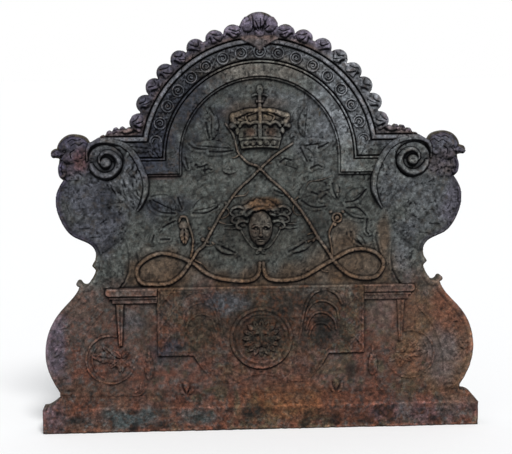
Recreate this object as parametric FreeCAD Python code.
import FreeCAD, Part
import math
import os

Vector = FreeCAD.Vector

# A cast iron fireback: an ornamented plate on a moulded plinth, which stands on the hearth.
# Sizes are millimetres. X runs across, Z up, and the ornamented front looks along -Y.
# The origin is the middle of the plinth's underside. Heights of the ornaments are counted from
# the plinth's top, and reliefs from the plate's front face. The table's top carries the field,
# and the arch's centre the side figures and the crown, so these move together.

# Plate and plinth
PLATE_THICKNESS = 24.0
PLINTH_WIDTH = 900.0
PLINTH_PROJECTION = 24.0
PLINTH_BAND_HEIGHT = 50.0
PLINTH_STEP = 6.0
PLINTH_MOULDING_HEIGHT = 20.0
PLINTH_MOULDING_RETURN = 26.0
FOOT_INSET = 4.0

# Heights of the table's top above the plinth and of the arch's centre above the table
TABLE_HEIGHT = 227.0
FIELD_HEIGHT = 262.0

# Arch: four strips round a clear field, with straight jambs and level returns at the bottom
ARCH_RADIUS = 158.5
ARCH_JAMB = 35.0
BAND_WIDTH = 31.0
BAND_BEAD_WIDTH = 7.5
BAND_RELIEF = 8.0
BAND_BEAD_RELIEF = 11.0
FILLET_WIDTH = 6.5
FILLET_RELIEF = 11.0
FRIEZE_WIDTH = 32.0
FRIEZE_RELIEF = 5.0
CORNICE_WIDTH = 10.0
CORNICE_RELIEF = 15.0
BAND_RETURN_END = 262.0
FRIEZE_RETURN_END = 286.0
CORNICE_RETURN_END = 314.0
ROUNDEL_RADIUS = 11.0
ROUNDEL_RELIEF = 3.0
ROUNDEL_STEP = 9.6
ROUNDELS_PER_SIDE = 8
KEYSTONE_HALF_WIDTH = 11.0
KEYSTONE_HEIGHT = 15.0

# Crest and garland on the plate's scalloped edge
CREST_RADIUS = 39.0
CREST_RISE = 13.0
CREST_RELIEF = 18.0
CREST_PETALS = 7
GARLAND_RISE = 15.0
GARLAND_BACKING = 18.0
GARLAND_LEAF_RADIUS = 18.0
GARLAND_LEAF_RELIEF = 17.0
GARLAND_ANGLES = (12.0, 20.5, 30.0, 38.9, 47.6, 55.8, 64.4, 73.4)

# Side figures, given for the right-hand side
VOLUTE_X = 309.0
VOLUTE_DROP = 7.0
VOLUTE_RADIUS = 36.0
VOLUTE_BAND = 9.0
VOLUTE_START_BEARING = 135.0
VOLUTE_QUARTER_TURNS = 5
VOLUTE_SHRINK = 0.86
VOLUTE_PAD_RELIEF = 6.0
VOLUTE_RELIEF = 17.0
VOLUTE_EYE_RADIUS = 10.0
VOLUTE_EYE_RELIEF = 19.0
HEAD_REACH = 64.0
HEAD_RISE = 25.0
HEAD_RADIUS = 30.0
HEAD_RELIEF = 15.0
BEAK_RELIEF = 8.0
WATTLE_RELIEF = 10.0
NECK_RELIEF = 9.0
BUST_REACH = 31.0
BUST_DROP = 97.0
BUST_HALF_WIDTH = 76.0
BUST_HALF_HEIGHT = 92.0
BUST_RELIEF = 20.0
WING_RELIEF = 9.0
WING_STRAP_WIDTH = 8.0
WING_STRAP_RELIEF = 14.0
PILASTER_RELIEF = 7.0
SIDE_SCROLL_RELIEF = 7.0

# Crown
CROWN_RISE = 19.0
CROWN_BAND_HEIGHT = 29.0
CROWN_RIM_ARCH = 5.0
CROWN_HALF_WIDTH = 42.0
CROWN_FLARE = 9.0
CROWN_BAND_RELIEF = 9.0
CROWN_BOW_FOOT = 17.0
CROWN_BOW_RISE = 34.0
CROWN_BOW_WIDTH = 8.0
CROWN_BOW_RELIEF = 10.0
CROWN_LEAF_SPACING = 24.5
CROWN_LEAF_HALF_WIDTH = 9.0
CROWN_LEAF_HEIGHT = 22.0
CROWN_LEAF_RELIEF = 11.0
CROWN_PEARL_RADIUS = 3.6
FINIAL_HEIGHT = 47.0
FINIAL_HALF_WIDTH = 9.0
FINIAL_RELIEF = 9.0

# Crossed branches, their leaves and flowers
STEM_WIDTH = 7.0
STEM_RELIEF = 6.0
LEAF_RELIEF = 2.2
FLOWER_RADIUS = 5.5
FLOWER_RELIEF = 7.0
FLOWER_X = 157.0
FLOWER_RISE = 136.0

# Mask in the field
MASK_DROP = 144.0
MASK_HALF_WIDTH = 24.0
MASK_HALF_HEIGHT = 35.0
MASK_RELIEF = 14.0
NOSE_RELIEF = 6.0
LOCK_RADIUS = 10.0
LOCK_RELIEF = 10.0
WREATH_WIDTH = 15.0
WREATH_RELIEF = 16.0

# Lower part: console table with a cloth
LEDGE_THICKNESS = 18.0
LEDGE_OVERHANG = 14.0
LEDGE_RELIEF = 14.0
APRON_THICKNESS = 15.0
APRON_OVERHANG = 16.0
APRON_RELIEF = 7.0
LEG_X = 288.0
LEG_LENGTH = 89.0
LEG_TOP_WIDTH = 17.0
LEG_FOOT_WIDTH = 8.0
LEG_RELIEF = 9.0
CLOTH_HALF_WIDTH = 213.0
CLOTH_DROP = 144.0
CLOTH_RELIEF = 4.0
CLOTH_BORDER_WIDTH = 29.0
CLOTH_BORDER_RELIEF = 3.0
LAPPET_HALF_WIDTH = 140.0
LAPPET_DROP = 60.0
LAPPET_TAPER = 44.0
HEM_ARCH_HALF_WIDTH = 50.0
HEM_ARCH_RISE = 17.0
MEDALLION_DROP = 109.0
MEDALLION_RADIUS = 62.0
MEDALLION_RING_WIDTH = 9.0
MEDALLION_RELIEF = 7.0
LION_RADIUS = 40.0
LION_RELIEF = 12.0
STRAP_WIDTH = 9.0
STRAP_RELIEF = 5.0
ROSETTE_X = 304.0
ROSETTE_HEIGHT = 78.0
ROSETTE_RADIUS = 48.0
ROSETTE_RING_WIDTH = 9.0
ROSETTE_RELIEF = 7.0
ROSETTE_PETALS = 8
TASSEL_GAP = 18.0
TASSEL_TOP = 96.0
TASSEL_LENGTH = 62.0
TASSEL_RADIUS = 10.0
DROP_X = 155.0
DROP_HEIGHT = 14.0
DROP_HALF_LENGTH = 12.0
DROP_HALF_WIDTH = 4.0
DROP_TILT = 25.0
DROP_RELIEF = 5.0

# Bevels of every raised form: share of its half width, and the height reached there as a share of
# its relief, from the plate's face to the flat top. Large domes have finer ones.
BEVELS = ((1.0, 0.0), (0.86, 0.6), (0.45, 1.0))
DOME_BEVELS = ((1.0, 0.0), (0.95, 0.35), (0.82, 0.64), (0.6, 0.86), (0.3, 1.0))
BOSS_SIDES = 12
DOME_SIDES = 28

# Worked-out sizes
PLINTH_HEIGHT = PLINTH_BAND_HEIGHT + PLINTH_MOULDING_HEIGHT
PLINTH_TOP_HALF_WIDTH = PLINTH_WIDTH / 2 - PLINTH_STEP - PLINTH_MOULDING_RETURN
FOOT_DEPTH = PLATE_THICKNESS + PLINTH_PROJECTION
BACK_Y = FOOT_DEPTH / 2
FACE_Y = BACK_Y - PLATE_THICKNESS
FRONT = Vector(0, -1, 0)
FOOT_X = PLINTH_TOP_HALF_WIDTH - FOOT_INSET
SPUR_HEIGHT = TABLE_HEIGHT + 3
ARCH_CENTRE_HEIGHT = TABLE_HEIGHT + FIELD_HEIGHT
FILLET_RADIUS = ARCH_RADIUS + BAND_WIDTH
FRIEZE_RADIUS = FILLET_RADIUS + FILLET_WIDTH
CORNICE_RADIUS = FRIEZE_RADIUS + FRIEZE_WIDTH
ARCH_OUTER_RADIUS = CORNICE_RADIUS + CORNICE_WIDTH
SHOULDER_HEIGHT = ARCH_CENTRE_HEIGHT - ARCH_JAMB + ARCH_OUTER_RADIUS - ARCH_RADIUS
GARLAND_RADIUS = ARCH_OUTER_RADIUS + GARLAND_RISE
CREST_HEIGHT = ARCH_CENTRE_HEIGHT + ARCH_OUTER_RADIUS + CREST_RISE
VOLUTE_HEIGHT = ARCH_CENTRE_HEIGHT - VOLUTE_DROP
HEAD_X = VOLUTE_X + HEAD_REACH
HEAD_HEIGHT = VOLUTE_HEIGHT + HEAD_RISE
BUST_X = VOLUTE_X + BUST_REACH
BUST_HEIGHT = VOLUTE_HEIGHT - BUST_DROP
CROWN_HEIGHT = ARCH_CENTRE_HEIGHT + CROWN_RISE
CROWN_BAND_TOP = CROWN_HEIGHT + CROWN_BAND_HEIGHT
CROWN_TOP_HALF_WIDTH = CROWN_HALF_WIDTH + CROWN_FLARE
MASK_HEIGHT = ARCH_CENTRE_HEIGHT - MASK_DROP
LEDGE_BOTTOM = TABLE_HEIGHT - LEDGE_THICKNESS
APRON_BOTTOM = LEDGE_BOTTOM - APRON_THICKNESS
APRON_END = LEG_X + APRON_OVERHANG
LEDGE_END = APRON_END + LEDGE_OVERHANG
CLOTH_BOTTOM = TABLE_HEIGHT - CLOTH_DROP
MEDALLION_HEIGHT = TABLE_HEIGHT - MEDALLION_DROP
TASSEL_X = CLOTH_HALF_WIDTH + TASSEL_GAP


# Points, edges and basic forms on the plate's front face

def spot(x, z, lift=0.0):
    """The point x from the middle and z above the plinth, lifted off the plate's face."""
    return Vector(x, FACE_Y - lift, PLINTH_HEIGHT + z)


def line(a, b):
    return Part.LineSegment(spot(*a), spot(*b)).toShape()


def arc(a, through, b):
    return Part.Arc(spot(*a), spot(*through), spot(*b)).toShape()


def curve(points):
    """A smooth curve through a few points."""
    spline = Part.BSplineCurve()
    spline.interpolate([spot(x, z) for x, z in points])
    return spline.toShape()


def raised(edges, relief, lift=0.0):
    """A flat-topped form with the given outline."""
    face = Part.Face(Part.Wire(Part.__sortEdges__(edges)))
    face.translate(FRONT * lift)
    return face.extrude(FRONT * relief)


def polygon(points, relief, lift=0.0):
    closed = list(points) + [points[0]]
    edges = [line(a, b) for a, b in zip(closed, closed[1:])]
    return raised(edges, relief, lift)


def box(left, right, low, high, relief):
    return Part.makeBox(right - left, relief, high - low, spot(left, low, relief))


def disc(x, z, radius, relief):
    return Part.makeCylinder(radius, relief, spot(x, z), FRONT)


def bevelled_section(base, side, width, relief):
    """A section with a flat back and a bevelled front, on a line across the base point."""
    corners = [(-share, rise) for share, rise in BEVELS] + [(share, rise) for share, rise in reversed(BEVELS)]
    points = [base + side * (share * width / 2) + FRONT * (rise * relief) for share, rise in corners]
    return closed(points)


def closed(points):
    return Part.makePolygon(list(points) + [points[0]])


def boss(x, z, half_width, half_height, relief, turn=0.0, bevels=BEVELS, sides=BOSS_SIDES):
    """An oval faceted boss with a flat back, turned clockwise as seen from the front."""
    levels = []
    for share, rise in bevels:
        angles = [2 * math.pi * number / sides for number in range(sides)]
        levels.append([
            spot(x + share * half_width * math.sin(a), z + share * half_height * math.cos(a), rise * relief)
            for a in angles
        ])
    faces = [Part.Face(closed(levels[0])), Part.Face(closed(levels[-1]))]
    for low, high in zip(levels, levels[1:]):
        for number in range(sides):
            faces.append(Part.Face(closed([low[number - 1], low[number], high[number], high[number - 1]])))
    shell = Part.Shell(faces)
    shell.sewShape()
    solid = Part.Solid(shell)
    if solid.Volume < 0:
        solid.reverse()
    solid.rotate(spot(x, z), Vector(0, 1, 0), turn)
    return solid


def cap(x, z, radius, relief):
    """A round faceted boss."""
    return boss(x, z, radius, radius, relief)


def ring(x, z, radius, width, relief):
    """A bevelled ring with a flat back."""
    section = bevelled_section(spot(x + radius, z), Vector(1, 0, 0), width, relief)
    return Part.Face(section).revolve(spot(x, z), FRONT, 360)


def route(points):
    """Straight runs joined by tangent arcs, each as wide as its two runs allow."""
    spots = [spot(x, z) for x, z in points]
    edges = []
    start = spots[0]
    for before, corner, after in zip(spots, spots[1:], spots[2:]):
        back = before - corner
        ahead = after - corner
        reach = 0.49 * min(back.Length, ahead.Length)
        back.normalize()
        ahead.normalize()
        half_angle = back.getAngle(ahead) / 2
        inward = back + ahead
        inward.normalize()
        sag = reach / math.cos(half_angle) - reach * math.tan(half_angle)
        enter = corner + back * reach
        leave = corner + ahead * reach
        edges.append(Part.LineSegment(start, enter).toShape())
        edges.append(Part.Arc(enter, corner + inward * sag, leave).toShape())
        start = leave
    edges.append(Part.LineSegment(start, spots[-1]).toShape())
    return Part.Wire(edges)


def bar(path, width, relief):
    """A bevelled bar with its flat side on the plate, along a wire."""
    first = path.OrderedEdges[0]
    start = first.valueAt(first.FirstParameter)
    along = first.tangentAt(first.FirstParameter)
    section = bevelled_section(start, along.cross(FRONT), width, relief)
    return path.makePipeShell([section], True, False)


def rod(points, width, relief):
    return bar(route(points), width, relief)


def joined(shapes):
    """One solid from pieces that run into each other."""
    whole = shapes[0].multiFuse(shapes[1:]) if len(shapes) > 1 else shapes[0]
    return whole.removeSplitter()


def mirrored(shape):
    return shape.mirror(Vector(0, 0, 0), Vector(1, 0, 0))


def on_arch(radius, degrees):
    """The point at a radius of the arch, measured from its top."""
    angle = math.radians(degrees)
    return radius * math.sin(angle), ARCH_CENTRE_HEIGHT + radius * math.cos(angle)


def by_volute(x, z):
    """A place beside the volute, from its middle."""
    return VOLUTE_X + x, VOLUTE_HEIGHT + z


def by_head(x, z):
    """A place on the bird's head, from its middle, in head radii."""
    return HEAD_X + x * HEAD_RADIUS, HEAD_HEIGHT + z * HEAD_RADIUS


def by_bust(x, z):
    """A place on the bust, from its middle, in its half width and half height."""
    return BUST_X + x * BUST_HALF_WIDTH, BUST_HEIGHT + z * BUST_HALF_HEIGHT


def by_foot(x, share):
    """A place on the lower bulge: across from the plate's foot, and a share of the way to the spur."""
    return FOOT_X + x, share * SPUR_HEIGHT


def above_table(points):
    return [(x, TABLE_HEIGHT + z) for x, z in points]


# Plate and plinth

def plinth():
    """A band with a quarter-round on top, mitred at both ends."""
    half = PLINTH_WIDTH / 2
    bend = math.sqrt(0.5)
    step_x = half - PLINTH_STEP
    inner_x = step_x - PLINTH_MOULDING_RETURN
    bend_x = inner_x + PLINTH_MOULDING_RETURN * bend
    bend_z = PLINTH_BAND_HEIGHT + PLINTH_MOULDING_HEIGHT * bend

    def side(x, z):
        return Vector(x, BACK_Y, z)

    right = [
        Part.LineSegment(side(half, 0), side(half, PLINTH_BAND_HEIGHT)).toShape(),
        Part.LineSegment(side(half, PLINTH_BAND_HEIGHT), side(step_x, PLINTH_BAND_HEIGHT)).toShape(),
        Part.Arc(
            side(step_x, PLINTH_BAND_HEIGHT),
            side(bend_x, bend_z),
            side(inner_x, PLINTH_HEIGHT),
        ).toShape(),
    ]
    left = [mirrored(edge) for edge in right]
    floor_edge = Part.LineSegment(side(-half, 0), side(half, 0)).toShape()
    top_edge = Part.LineSegment(side(-inner_x, PLINTH_HEIGHT), side(inner_x, PLINTH_HEIGHT)).toShape()
    across = Part.Face(Part.Wire(Part.__sortEdges__(right + left + [floor_edge, top_edge])))

    front_y = FACE_Y - PLINTH_PROJECTION
    step_y = front_y + PLINTH_STEP
    bend_y = FACE_Y - (FACE_Y - step_y) * bend

    def depth(y, z):
        return Vector(-half, y, z)

    outline = [
        Part.makePolygon([
            depth(FACE_Y, PLINTH_HEIGHT),
            depth(BACK_Y, PLINTH_HEIGHT),
            depth(BACK_Y, 0),
            depth(front_y, 0),
            depth(front_y, PLINTH_BAND_HEIGHT),
            depth(step_y, PLINTH_BAND_HEIGHT),
        ]),
        Part.Arc(
            depth(step_y, PLINTH_BAND_HEIGHT),
            depth(bend_y, bend_z),
            depth(FACE_Y, PLINTH_HEIGHT),
        ).toShape(),
    ]
    edges = [edge for part in outline for edge in part.Edges]
    along = Part.Face(Part.Wire(Part.__sortEdges__(edges)))
    return across.extrude(FRONT * FOOT_DEPTH).common(along.extrude(Vector(PLINTH_WIDTH, 0, 0)))


def side_outline():
    """The right-hand edge of the plate, from the plinth up to the shoulder below the arch."""
    foot = by_foot(0, 0)
    instep = by_foot(0, 0.043)
    spur_foot = by_foot(-45, 1.0)
    spur_tip = by_foot(-49, 1.04)
    neck = by_foot(-66, 1.035)
    waist = by_bust(-0.09, -0.935)
    collar = by_head(0.73, -2.0)
    beak_root = by_head(0.97, -0.53)
    beak_top = by_head(1.13, 0.07)
    nape = by_head(-1.03, 0.47)

    def between(x, share):
        """A place between the neck above the spur and the waist below the bust."""
        return waist[0] + x, neck[1] + share * (waist[1] - neck[1])

    return [
        line(foot, instep),
        curve([
            instep, by_foot(13, 0.143), by_foot(26, 0.313), by_foot(26, 0.478), by_foot(14, 0.652),
            by_foot(-11, 0.8), by_foot(-36, 0.922), spur_foot,
        ]),
        arc(spur_foot, by_foot(-43, 1.048), spur_tip),
        arc(spur_tip, by_foot(-58, 1.009), neck),
        curve([neck, between(6, 0.23), between(2, 0.41)]),
        line(between(2, 0.41), between(10, 0.56)),
        line(between(10, 0.56), between(3, 0.74)),
        line(between(3, 0.74), waist),
        curve([
            waist, by_bust(0.01, -0.77), by_bust(0.5, -0.555), by_bust(0.815, -0.205),
            by_bust(0.935, 0.165), by_bust(0.87, 0.49), collar,
        ]),
        curve([collar, by_head(1.0, -1.77), by_head(1.07, -1.23), beak_root]),
        line(beak_root, by_head(1.37, -0.47)),
        arc(by_head(1.37, -0.47), by_head(1.53, -0.27), beak_top),
        curve([
            beak_top, by_head(0.93, 0.6), by_head(0.43, 1.0), by_head(-0.27, 1.03), by_head(-0.8, 0.83), nape,
        ]),
        line(nape, (CORNICE_RETURN_END + 3, SHOULDER_HEIGHT + 2.5)),
    ]


def body_edges():
    """The closed outline of the plate below the arch: both sides, the foot and the shoulders."""
    end = CORNICE_RETURN_END
    level = SHOULDER_HEIGHT
    slope = [
        (end + 3, level + 2.5), (end - 10, level + 11.5), (end - 26, level + 18.5), (end - 50, level + 18.5),
    ]
    right = side_outline() + [line(slope[0], slope[1]), curve(slope[1:])]
    left = [mirrored(edge) for edge in right]
    top_x, top_z = slope[-1]
    return right + left + [line((-top_x, top_z), (top_x, top_z)), line((-FOOT_X, 0), (FOOT_X, 0))]


def garland_spots():
    """Middle of each curled leaf on the right-hand side of the arch."""
    return [on_arch(GARLAND_RADIUS, degrees) for degrees in GARLAND_ANGLES]


def plate_disc(x, z, radius):
    """A round area of the plate's full thickness behind the front face."""
    return Part.makeCylinder(radius, PLATE_THICKNESS, spot(x, z), FRONT * -1)


def back_plate():
    """The plate behind everything, scalloped along the garland and the crest."""
    pieces = [
        raised(body_edges(), -PLATE_THICKNESS),
        plate_disc(0, ARCH_CENTRE_HEIGHT, ARCH_OUTER_RADIUS + GARLAND_BACKING),
        plate_disc(0, CREST_HEIGHT, CREST_RADIUS),
    ]
    for x, z in garland_spots():
        pieces += [plate_disc(x, z, GARLAND_LEAF_RADIUS), plate_disc(-x, z, GARLAND_LEAF_RADIUS)]
    return joined(pieces)


# Arch

def opening(radius, end, relief):
    """What an arch moulding leaves free on its inside: the field below it, the jambs and the arch."""
    level = ARCH_CENTRE_HEIGHT - ARCH_JAMB + radius - ARCH_RADIUS
    floor = ARCH_CENTRE_HEIGHT - 2 * ARCH_JAMB
    field = box(-end, end, floor, level, relief)
    jambs = box(-radius, radius, floor, max(level, ARCH_CENTRE_HEIGHT), relief)
    upper = box(-radius, radius, ARCH_CENTRE_HEIGHT, ARCH_CENTRE_HEIGHT + radius, relief)
    hoop = disc(0, ARCH_CENTRE_HEIGHT, radius, relief).common(upper)
    return joined([field, jambs, hoop])


def strip(inner, outer, end, relief):
    """A strip of the arch between two radii, with its jambs and level returns."""
    return opening(outer, end, relief).cut(opening(inner, end, relief))


def arch_band(over):
    """The flat inner band with a bead on its inner edge."""
    flat = strip(ARCH_RADIUS, FILLET_RADIUS, BAND_RETURN_END, BAND_RELIEF)
    bead = strip(ARCH_RADIUS, ARCH_RADIUS + BAND_BEAD_WIDTH, BAND_RETURN_END, BAND_BEAD_RELIEF)
    return joined([flat, bead]).cut(over)


def arch_fillet(over):
    return strip(FILLET_RADIUS, FRIEZE_RADIUS, BAND_RETURN_END, FILLET_RELIEF).cut(over)


def arch_frieze(over):
    return strip(FRIEZE_RADIUS, CORNICE_RADIUS, FRIEZE_RETURN_END, FRIEZE_RELIEF).cut(over)


def arch_cornice(over):
    return strip(CORNICE_RADIUS, ARCH_OUTER_RADIUS, CORNICE_RETURN_END, CORNICE_RELIEF).cut(over)


def frieze_roundels():
    """A row of ringed bosses along the middle of the frieze."""
    roundels = []
    for number in range(-ROUNDELS_PER_SIDE, ROUNDELS_PER_SIDE + 1):
        x, z = on_arch(FRIEZE_RADIUS + FRIEZE_WIDTH / 2, number * ROUNDEL_STEP)
        rim = cap(x, z, ROUNDEL_RADIUS, ROUNDEL_RELIEF)
        hollow = cap(x, z, ROUNDEL_RADIUS * 0.75, ROUNDEL_RELIEF * 3)
        hollow.translate(FRONT * (ROUNDEL_RELIEF * 0.3))
        middle = cap(x, z, ROUNDEL_RADIUS * 0.35, ROUNDEL_RELIEF)
        roundel = joined([rim.cut(hollow), middle])
        roundel.translate(FRONT * FRIEZE_RELIEF)
        roundels.append(roundel)
    return Part.makeCompound(roundels)


def keystone(roundels):
    """A leaf tip that hangs from the cornice over the frieze."""
    half = KEYSTONE_HALF_WIDTH
    top = ARCH_CENTRE_HEIGHT + math.sqrt(CORNICE_RADIUS**2 - half**2)
    corners = [(-half, top), (half, top), (0, top - KEYSTONE_HEIGHT)]
    return polygon(corners, CORNICE_RELIEF - FRIEZE_RELIEF, FRIEZE_RELIEF).cut(roundels)


# Crest and garland

def crest_shell():
    """A fan of petals round a boss, on the highest point of the plate."""
    petals = [disc(0, CREST_HEIGHT, CREST_RADIUS * 0.86, CREST_RELIEF * 0.3)]
    step = 180 / (CREST_PETALS - 1)
    for number in range(CREST_PETALS):
        turn = -90 + number * step
        angle = math.radians(turn)
        reach = CREST_RADIUS * 0.56
        x = reach * math.sin(angle)
        z = CREST_HEIGHT + reach * math.cos(angle)
        petals.append(boss(x, z, CREST_RADIUS * 0.21, CREST_RADIUS * 0.43, CREST_RELIEF * 0.8, turn))
    petals.append(cap(0, CREST_HEIGHT, CREST_RADIUS * 0.3, CREST_RELIEF))
    return joined(petals).cut(disc(0, ARCH_CENTRE_HEIGHT, ARCH_OUTER_RADIUS, CREST_RELIEF))


def garland(crest):
    """The curled leaves on the right of the arch, with the small beads on the shoulder."""
    leaves = []
    for x, z in garland_spots():
        leaves.append(cap(x, z, GARLAND_LEAF_RADIUS, GARLAND_LEAF_RELIEF))
    for inset, radius in ((40, 8.5), (25, 8.0), (12, 5.5), (3, 3.5)):
        leaves.append(cap(CORNICE_RETURN_END - inset, SHOULDER_HEIGHT + radius, radius, radius))
    arch_area = disc(0, ARCH_CENTRE_HEIGHT, ARCH_OUTER_RADIUS, GARLAND_LEAF_RELIEF)
    return joined(leaves).cut([arch_area, crest])


# Side figures on the right

def volute_path():
    """Quarter turns that wind clockwise into the eye, each smaller than the one before."""
    radius = VOLUTE_RADIUS - VOLUTE_BAND / 2
    centre_x = VOLUTE_X
    centre_z = VOLUTE_HEIGHT
    bearing = math.radians(VOLUTE_START_BEARING)
    edges = []
    for _ in range(VOLUTE_QUARTER_TURNS):
        points = []
        for share in (0.0, 0.5, 1.0):
            angle = bearing - share * math.pi / 2
            points.append(spot(centre_x + radius * math.cos(angle), centre_z + radius * math.sin(angle)))
        edges.append(Part.Arc(*points).toShape())
        bearing -= math.pi / 2
        step = radius * (1 - VOLUTE_SHRINK)
        centre_x += step * math.cos(bearing)
        centre_z += step * math.sin(bearing)
        radius *= VOLUTE_SHRINK
    return Part.Wire(edges)


def volute():
    """A pad with a spiral band and a round eye."""
    pad = disc(VOLUTE_X, VOLUTE_HEIGHT, VOLUTE_RADIUS, VOLUTE_PAD_RELIEF)
    spiral = bar(volute_path(), VOLUTE_BAND, VOLUTE_RELIEF)
    eye = cap(VOLUTE_X, VOLUTE_HEIGHT, VOLUTE_EYE_RADIUS, VOLUTE_EYE_RELIEF)
    return joined([pad, spiral, eye])


def head(chest):
    """A bird's head that looks outwards, with its beak, wattle and neck."""
    skull = boss(HEAD_X, HEAD_HEIGHT, HEAD_RADIUS, HEAD_RADIUS, HEAD_RELIEF)
    beak = polygon([
        by_head(0.7, -0.5), by_head(1.33, -0.43), by_head(1.47, -0.3), by_head(1.07, 0.03),
        by_head(0.7, 0.23),
    ], BEAK_RELIEF)
    wattle = boss(*by_head(0.63, -1.2), 0.33 * HEAD_RADIUS, 0.7 * HEAD_RADIUS, WATTLE_RELIEF)
    nape = by_head(-0.7, 0.1)
    cheek = by_head(0.63, -0.07)
    throat = by_head(0.63, -2.0)
    shoulder = by_head(-0.9, -2.03)
    neck = raised([
        curve([shoulder, by_head(-1.1, -1.23), nape]),
        line(nape, cheek),
        curve([cheek, by_head(0.47, -1.07), throat]),
        line(throat, shoulder),
    ], NECK_RELIEF)
    return joined([skull, beak, wattle, neck]).cut([scroll_area(HEAD_RELIEF), chest])


def bust():
    """The swelling chest below the head, trimmed to the plate's edge."""
    size = (BUST_HALF_WIDTH, BUST_HALF_HEIGHT, BUST_RELIEF)
    dome = boss(BUST_X, BUST_HEIGHT, *size, bevels=DOME_BEVELS, sides=DOME_SIDES)
    plate_area = raised(body_edges(), BUST_RELIEF)
    return dome.common(plate_area).cut(scroll_area(BUST_RELIEF))


def wing_area(relief, inset=0.0):
    """The leaf beside the volute, or the part of it inside its strap."""
    tip = (-53, -98)
    root = (-16, 29)
    outer = [root, (-45, 15), (-67, -12), (-77, -42), (-73, -72), tip]
    inner = [tip, (-27, -82), (-13, -52), (-6, -22), root]
    return raised([curve([by_volute(x + inset, z) for x, z in side]) for side in (outer, inner)], relief)


def wing():
    """A leaf between the volute and the bust, with a raised strap along its outer edge."""
    strap = wing_area(WING_STRAP_RELIEF).cut(wing_area(WING_STRAP_RELIEF, WING_STRAP_WIDTH))
    volute_area = disc(VOLUTE_X, VOLUTE_HEIGHT, VOLUTE_RADIUS, WING_STRAP_RELIEF)
    return joined([wing_area(WING_RELIEF), strap]).cut(volute_area)


def scroll_area(relief):
    """The whole area of the volute and the wing, which their neighbours end against."""
    return joined([disc(VOLUTE_X, VOLUTE_HEIGHT, VOLUTE_RADIUS, relief), wing_area(relief)])


def pilaster(chest):
    """The tapering shaft below the bust, which stands on the table's top."""
    top_left = by_bust(-0.95, -0.6)
    top_right = by_bust(-0.2, -0.6)
    waist = by_bust(-0.96, -0.92)
    foot_left = (BUST_X - 57, TABLE_HEIGHT)
    foot_right = (BUST_X - 14, TABLE_HEIGHT)
    bend = (BUST_X - 69, TABLE_HEIGHT + 38)
    return raised([
        curve([top_left, waist, bend, foot_left]),
        line(foot_left, foot_right),
        line(foot_right, top_right),
        line(top_right, top_left),
    ], PILASTER_RELIEF).cut(chest)


def side_scroll(over):
    """The broad band along the lower bulge, which ends in the spur."""
    low = by_foot(-32, 0)
    high = by_foot(-88, 0.865)
    inner = [high, by_foot(-64, 0.72), by_foot(-36, 0.565), by_foot(-23, 0.39), by_foot(-26, 0.195), low]
    corners = [low, by_foot(46, 0), by_foot(46, 1.07), by_foot(-69, 1.07), high]
    straight = [line(a, b) for a, b in zip(corners, corners[1:])]
    band = raised([curve(inner)] + straight, SIDE_SCROLL_RELIEF)
    return band.common(raised(body_edges(), SIDE_SCROLL_RELIEF)).cut(over)


# Crown

def crown_band():
    """The flared circlet with its arched lower rim."""
    half = CROWN_HALF_WIDTH
    wide = CROWN_TOP_HALF_WIDTH
    rim = CROWN_HEIGHT - CROWN_RIM_ARCH
    return raised([
        arc((-half, rim), (0, CROWN_HEIGHT), (half, rim)),
        line((half, rim), (wide, CROWN_BAND_TOP)),
        arc((wide, CROWN_BAND_TOP), (0, CROWN_BAND_TOP + CROWN_RIM_ARCH), (-wide, CROWN_BAND_TOP)),
        line((-wide, CROWN_BAND_TOP), (-half, rim)),
    ], CROWN_BAND_RELIEF)


def crown_leaves(over):
    """Five leaves that stand on the circlet, lower towards the sides, with pearls between them."""
    shapes = []
    for number in range(-2, 3):
        half_height = CROWN_LEAF_HEIGHT * (0.68 - 0.07 * number**2)
        x = number * CROWN_LEAF_SPACING
        z = CROWN_BAND_TOP + half_height * 0.7
        shapes.append(boss(x, z, CROWN_LEAF_HALF_WIDTH, half_height, CROWN_LEAF_RELIEF))
    for number in (-1.5, -0.5, 0.5, 1.5):
        x = number * CROWN_LEAF_SPACING
        z = CROWN_BAND_TOP + CROWN_LEAF_HEIGHT * 0.45
        shapes.append(cap(x, z, CROWN_PEARL_RADIUS, CROWN_PEARL_RADIUS * 1.6))
    return Part.makeCompound([shape.cut(over) for shape in shapes])


def crown_arches(over):
    """Five bows that rise from the circlet and meet below the finial."""
    foot = CROWN_BAND_TOP + CROWN_BOW_FOOT

    def bow(shares, width, relief):
        path = [(x * CROWN_TOP_HALF_WIDTH, foot + z * CROWN_BOW_RISE) for x, z in shares]
        return rod(path, width, relief)

    bows = [bow([(0, -0.3), (0, 1)], CROWN_BOW_WIDTH, CROWN_BOW_RELIEF)]
    for side in (-1, 1):
        outer = [(side * 1.04, 0), (side * 1.12, 0.47), (side * 0.78, 0.8), (0, 0.94)]
        inner = [(side * 0.65, 0), (side * 0.75, 0.3), (side * 0.5, 0.65), (0, 0.85)]
        bows.append(bow(outer, CROWN_BOW_WIDTH, CROWN_BOW_RELIEF))
        bows.append(bow(inner, CROWN_BOW_WIDTH * 0.7, CROWN_BOW_RELIEF * 0.8))
    return joined(bows).cut(over)


def crown_finial():
    """A collar, a stem and a bud with two curled side leaves, on top of the bows."""
    foot = CROWN_BAND_TOP + CROWN_BOW_FOOT + CROWN_BOW_RISE
    half = FINIAL_HALF_WIDTH

    def level(share):
        return foot + share * FINIAL_HEIGHT

    collar = boss(0, level(0.18), half, half * 0.45, FINIAL_RELIEF)
    stem = rod([(0, foot), (0, level(0.55))], half * 0.8, FINIAL_RELIEF * 0.8)
    bud = boss(0, level(0.74), half * 0.8, FINIAL_HEIGHT * 0.26, FINIAL_RELIEF)
    shapes = [collar, stem, bud]
    for side in (-1, 1):
        arm = [(0, level(0.46)), (side * half * 0.9, level(0.46)), (side * half * 1.55, level(0.6))]
        shapes.append(rod(arm, half * 0.55, FINIAL_RELIEF * 0.55))
    return joined(shapes)


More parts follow.
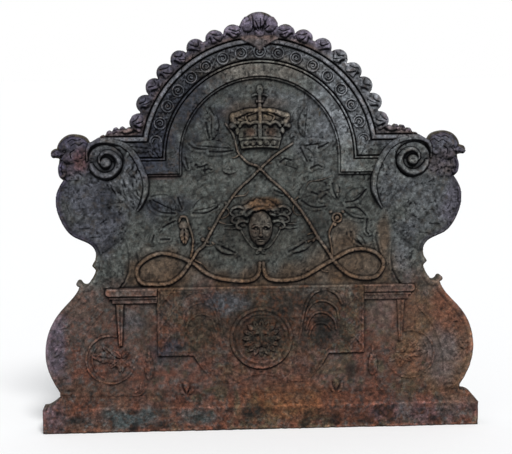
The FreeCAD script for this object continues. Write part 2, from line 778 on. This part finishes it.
# Crossed branches, leaves and flowers

def branch(over):
    """One branch: a stem from the upper left, a loop at the right and a tail back to the middle."""
    stem = [(-68, 329), (-52, 311), (-42, 273), (-14, 251), (22, 222), (70, 175), (112, 115), (150, 57)]
    turn = [(186, 19), (226, 7), (256, 23), (255, 39)]
    tail = [
        (255, 39), (254, 55), (226, 72), (190, 67), (150, 46), (104, 18), (52, 6), (24, 10), (9, 29), (7, 45),
    ]
    outward = rod(above_table(stem + turn), STEM_WIDTH, STEM_RELIEF)
    homeward = rod(above_table(tail), STEM_WIDTH, STEM_RELIEF)
    return joined([outward, homeward]).cut(over)


def leaf(x, rise, length, width, turn):
    """A pointed leaf of two arcs above the table, turned clockwise from upright."""
    z = TABLE_HEIGHT + rise
    half = length / 2
    face = raised([
        arc((x, z - half), (x + width / 2, z), (x, z + half)),
        arc((x, z + half), (x - width / 2, z), (x, z - half)),
    ], LEAF_RELIEF)
    face.rotate(spot(x, z), Vector(0, 1, 0), turn)
    return face


def leaves(over):
    """The low leaves that spread from the branches over the right half of the field."""
    placed = [
        leaf(120, 289, 52, 30, 80),
        leaf(94, 325, 50, 26, 8),
        leaf(110, 251, 44, 24, 120),
        leaf(108, 203, 48, 24, 60),
        leaf(122, 168, 40, 26, 95),
        leaf(205, 168, 60, 34, 35),
        leaf(205, 118, 58, 30, 150),
        leaf(86, 99, 44, 22, 100),
        leaf(75, 65, 50, 24, 75),
    ]
    return Part.makeCompound([piece.cut(over) for piece in placed])


def flower(over):
    """A five-petalled flower on its stalk."""
    stalk = [(FLOWER_X - 7, 63), (FLOWER_X - 11, 93), (FLOWER_X - 7, FLOWER_RISE - 10)]
    middle = TABLE_HEIGHT + FLOWER_RISE
    shapes = [
        rod(above_table(stalk), STEM_WIDTH * 0.7, STEM_RELIEF * 0.7),
        cap(FLOWER_X, middle, FLOWER_RADIUS, FLOWER_RELIEF),
    ]
    petals = 5
    for number in range(petals):
        angle = 2 * math.pi * number / petals
        x = FLOWER_X + 1.5 * FLOWER_RADIUS * math.sin(angle)
        z = middle + 1.5 * FLOWER_RADIUS * math.cos(angle)
        shapes.append(cap(x, z, FLOWER_RADIUS, FLOWER_RELIEF * 0.6))
    return joined(shapes).cut(over)


# Mask

def by_mask(x, z):
    """A place on the mask, from its middle, in its half width and half height."""
    return x * MASK_HALF_WIDTH, MASK_HEIGHT + z * MASK_HALF_HEIGHT


def mask_face(over):
    """An oval face with a nose ridge and a chin, on plain proportions."""
    half_width = MASK_HALF_WIDTH
    half_height = MASK_HALF_HEIGHT
    oval = boss(0, MASK_HEIGHT, half_width, half_height, MASK_RELIEF)
    nose = boss(*by_mask(0, 0), half_width * 0.19, half_height * 0.32, MASK_RELIEF + NOSE_RELIEF)
    chin = boss(*by_mask(0, -0.72), half_width * 0.33, half_height * 0.2, MASK_RELIEF)
    return joined([oval, nose, chin]).cut(over)


def mask_hair():
    """A rolled wreath over the brow with bunches of curls at both sides."""
    wreath_path = [by_mask(-1.67, 1.0), by_mask(-0.83, 1.32), by_mask(0.83, 1.32), by_mask(1.67, 1.0)]
    shapes = [rod(wreath_path, WREATH_WIDTH, WREATH_RELIEF)]
    curls = ((1.5, 0.72, 1.1), (2.1, 0.6, 1.1), (1.67, 0.24, 1.0), (2.3, 0.15, 0.9), (2.75, 0.5, 0.8))
    for side in (-1, 1):
        for x, z, size in curls:
            shapes.append(cap(*by_mask(side * x, z), LOCK_RADIUS * size, LOCK_RELIEF))
    return joined(shapes)


def mask_knot(over):
    """The tied ribbon below the chin."""
    shapes = [cap(*by_mask(0, -1.17), LOCK_RADIUS * 0.6, LOCK_RELIEF * 0.7)]
    for side in (-1, 1):
        loop_x, loop_z = by_mask(side * 0.46, -1.29)
        loop = boss(loop_x, loop_z, LOCK_RADIUS * 0.5, LOCK_RADIUS * 1.1, LOCK_RELIEF * 0.5, side * -50)
        shapes.append(loop)
    return joined(shapes).cut(over)


# Lower part

def ledge():
    """Half of the console's top, with a round nose at its outer end."""
    nose = LEDGE_THICKNESS / 2
    end = LEDGE_END - nose
    slab = raised([
        line((CLOTH_HALF_WIDTH, TABLE_HEIGHT), (end, TABLE_HEIGHT)),
        arc((end, TABLE_HEIGHT), (LEDGE_END, TABLE_HEIGHT - nose), (end, LEDGE_BOTTOM)),
        line((end, LEDGE_BOTTOM), (CLOTH_HALF_WIDTH, LEDGE_BOTTOM)),
        line((CLOTH_HALF_WIDTH, LEDGE_BOTTOM), (CLOTH_HALF_WIDTH, TABLE_HEIGHT)),
    ], LEDGE_RELIEF)
    apron = box(CLOTH_HALF_WIDTH, APRON_END, APRON_BOTTOM, LEDGE_BOTTOM, APRON_RELIEF)
    return joined([slab, apron])


def leg():
    """A leg that tapers down from the apron."""
    top = LEG_TOP_WIDTH / 2
    foot = LEG_FOOT_WIDTH / 2
    foot_height = APRON_BOTTOM - LEG_LENGTH
    return polygon([
        (LEG_X - top, APRON_BOTTOM),
        (LEG_X + top, APRON_BOTTOM),
        (LEG_X + foot, foot_height),
        (LEG_X - foot, foot_height),
    ], LEG_RELIEF)


def cloth_panel(over):
    """The cloth over the table: a wide panel, a lappet with an arched hem and raised borders."""
    hem = CLOTH_BOTTOM - LAPPET_DROP
    hem_x = LAPPET_HALF_WIDTH - LAPPET_TAPER
    right = [
        line((CLOTH_HALF_WIDTH, TABLE_HEIGHT), (CLOTH_HALF_WIDTH, CLOTH_BOTTOM)),
        line((CLOTH_HALF_WIDTH, CLOTH_BOTTOM), (LAPPET_HALF_WIDTH, CLOTH_BOTTOM)),
        line((LAPPET_HALF_WIDTH, CLOTH_BOTTOM), (hem_x, hem)),
        line((hem_x, hem), (HEM_ARCH_HALF_WIDTH, hem)),
    ]
    left = [mirrored(edge) for edge in right]
    top = line((-CLOTH_HALF_WIDTH, TABLE_HEIGHT), (CLOTH_HALF_WIDTH, TABLE_HEIGHT))
    arch = arc((-HEM_ARCH_HALF_WIDTH, hem), (0, hem + HEM_ARCH_RISE), (HEM_ARCH_HALF_WIDTH, hem))
    panel = raised(right + left + [top, arch], CLOTH_RELIEF)
    border = box(CLOTH_HALF_WIDTH - CLOTH_BORDER_WIDTH, CLOTH_HALF_WIDTH, CLOTH_BOTTOM, TABLE_HEIGHT,
                 CLOTH_RELIEF + CLOTH_BORDER_RELIEF)
    return joined([panel, border, mirrored(border)]).cut(over)


def medallion_ring():
    """A round frame in the middle of the cloth."""
    rim_radius = MEDALLION_RADIUS - MEDALLION_RING_WIDTH / 2
    rim = ring(0, MEDALLION_HEIGHT, rim_radius, MEDALLION_RING_WIDTH, CLOTH_RELIEF + MEDALLION_RELIEF)
    floor = disc(0, MEDALLION_HEIGHT, rim_radius, CLOTH_RELIEF)
    return joined([floor, rim])


def lion_mask():
    """A lion's face in the medallion: mane, brow, muzzle, cheeks and ears."""
    size = LION_RADIUS

    def lump(x, z, half_width, half_height, relief, turn=0.0):
        return boss(x * size, MEDALLION_HEIGHT + z * size, half_width * size, half_height * size, relief, turn)

    mane = cap(0, MEDALLION_HEIGHT, size, LION_RELIEF * 0.6)
    shapes = [mane, lump(0, -0.4, 0.28, 0.25, LION_RELIEF), lump(0, 0, 0.15, 0.5, LION_RELIEF)]
    for side in (-1, 1):
        shapes.append(lump(side * 0.375, -0.15, 0.225, 0.3, LION_RELIEF * 0.85))
        shapes.append(lump(side * 0.35, 0.35, 0.275, 0.15, LION_RELIEF * 0.85, side * 15))
        shapes.append(lump(side * 0.75, 0.62, 0.175, 0.175, LION_RELIEF * 0.7))
    mask = joined(shapes)
    mask.translate(FRONT * CLOTH_RELIEF)
    return mask


def strap(over):
    """A strap that rises beside the medallion and curls over, on the cloth."""
    path = [
        (74, -135), (80, -89), (92, -47), (120, -18), (152, -23), (166, -51), (150, -71), (128, -63),
        (124, -45),
    ]
    band = rod(above_table(path), STRAP_WIDTH, STRAP_RELIEF)
    band.translate(FRONT * CLOTH_RELIEF)
    return band.cut(over)


def rosette(over):
    """A round scroll with a flower in it."""
    rim = ring(ROSETTE_X, ROSETTE_HEIGHT, ROSETTE_RADIUS, ROSETTE_RING_WIDTH, ROSETTE_RELIEF)
    flower_pieces = [cap(ROSETTE_X, ROSETTE_HEIGHT, ROSETTE_RADIUS * 0.2, ROSETTE_RELIEF)]
    for number in range(ROSETTE_PETALS):
        turn = 360 * number / ROSETTE_PETALS
        angle = math.radians(turn)
        reach = ROSETTE_RADIUS * 0.38
        x = ROSETTE_X + reach * math.sin(angle)
        z = ROSETTE_HEIGHT + reach * math.cos(angle)
        petal = boss(x, z, ROSETTE_RADIUS * 0.13, ROSETTE_RADIUS * 0.26, ROSETTE_RELIEF * 0.7, turn)
        flower_pieces.append(petal)
    return Part.makeCompound([rim.cut(over), joined(flower_pieces).cut(over)])


def tassel():
    """A tassel: a knot, a neck and a skirt that widens downwards."""
    def lump(share, half_width, half_length):
        z = TASSEL_TOP - share * TASSEL_LENGTH
        return boss(TASSEL_X, z, half_width * TASSEL_RADIUS, half_length * TASSEL_LENGTH, TASSEL_RADIUS)

    return joined([lump(0.16, 0.55, 0.16), lump(0.36, 0.4, 0.14), lump(0.68, 1.0, 0.32)])


def drop():
    """Two small leaves that part from one point above the plinth."""
    spread = DROP_HALF_LENGTH * math.sin(math.radians(DROP_TILT))
    pair = []
    for side in (-1, 1):
        x = DROP_X + side * spread
        pair.append(boss(x, DROP_HEIGHT, DROP_HALF_WIDTH, DROP_HALF_LENGTH, DROP_RELIEF, side * DROP_TILT))
    return joined(pair)


# Build

def both_sides(nodes, name, right):
    nodes[name + "_right"] = right
    nodes[name + "_left"] = mirrored(right)


def build():
    nodes = {"plinth": plinth(), "back_plate": back_plate()}

    both_sides(nodes, "volute", volute())
    both_sides(nodes, "wing", wing())
    both_sides(nodes, "bust", bust())
    both_sides(nodes, "head", head(nodes["bust_right"]))
    both_sides(nodes, "pilaster", pilaster(nodes["bust_right"]))
    right_scrolls = scroll_area(CORNICE_RELIEF)
    scrolls = [right_scrolls, mirrored(right_scrolls)]

    nodes["arch_band"] = arch_band(scrolls)
    nodes["arch_fillet"] = arch_fillet(scrolls)
    nodes["arch_frieze"] = arch_frieze(scrolls)
    nodes["arch_cornice"] = arch_cornice(scrolls)
    nodes["frieze_roundels"] = frieze_roundels()
    nodes["keystone"] = keystone(nodes["frieze_roundels"])
    nodes["crest_shell"] = crest_shell()
    both_sides(nodes, "garland", garland(nodes["crest_shell"]))

    nodes["crown_band"] = crown_band()
    nodes["crown_finial"] = crown_finial()
    nodes["crown_arches"] = crown_arches([nodes["crown_finial"], nodes["crown_band"]])
    nodes["crown_leaves"] = crown_leaves([nodes["crown_band"], nodes["crown_arches"]])
    crown = [nodes[name] for name in ("crown_band", "crown_leaves", "crown_arches")]

    nodes["mask_hair"] = mask_hair()
    nodes["mask_face"] = mask_face(nodes["mask_hair"])
    nodes["mask_knot"] = mask_knot(nodes["mask_face"])

    both_sides(nodes, "ledge", ledge())
    both_sides(nodes, "leg", leg())
    both_sides(nodes, "tassel", tassel())
    both_sides(nodes, "rosette", rosette([nodes["leg_right"], nodes["tassel_right"]]))
    both_sides(nodes, "drop", drop())
    nodes["medallion_ring"] = medallion_ring()
    nodes["cloth_panel"] = cloth_panel(nodes["medallion_ring"])
    nodes["lion_mask"] = lion_mask()

    mask = [nodes[name] for name in ("mask_hair", "mask_face", "mask_knot")]
    table = [nodes[name] for name in ("cloth_panel", "ledge_right", "ledge_left")]
    nodes["branch_right"] = branch(crown + mask + table)
    nodes["branch_left"] = mirrored(branch(crown + mask + table)).cut(nodes["branch_right"])
    branches = [nodes["branch_right"], nodes["branch_left"]]
    nodes["flower_right"] = flower(branches)
    nodes["flower_left"] = mirrored(flower([mirrored(piece) for piece in branches]))
    under = branches + mask + table + crown
    under += [nodes[name] for name in ("flower_right", "wing_right", "bust_right", "arch_band")]
    both_sides(nodes, "leaves", leaves(under))

    both_sides(nodes, "strap", strap(nodes["medallion_ring"]))
    both_sides(nodes, "side_scroll", side_scroll([nodes["pilaster_right"], nodes["ledge_right"]]))
    return nodes


os.makedirs("parts", exist_ok=True)
for node_name, shape in build().items():
    shape.exportStep("parts/" + node_name + ".step")
    print(node_name, len(shape.Solids), shape.isValid(), round(shape.Volume))
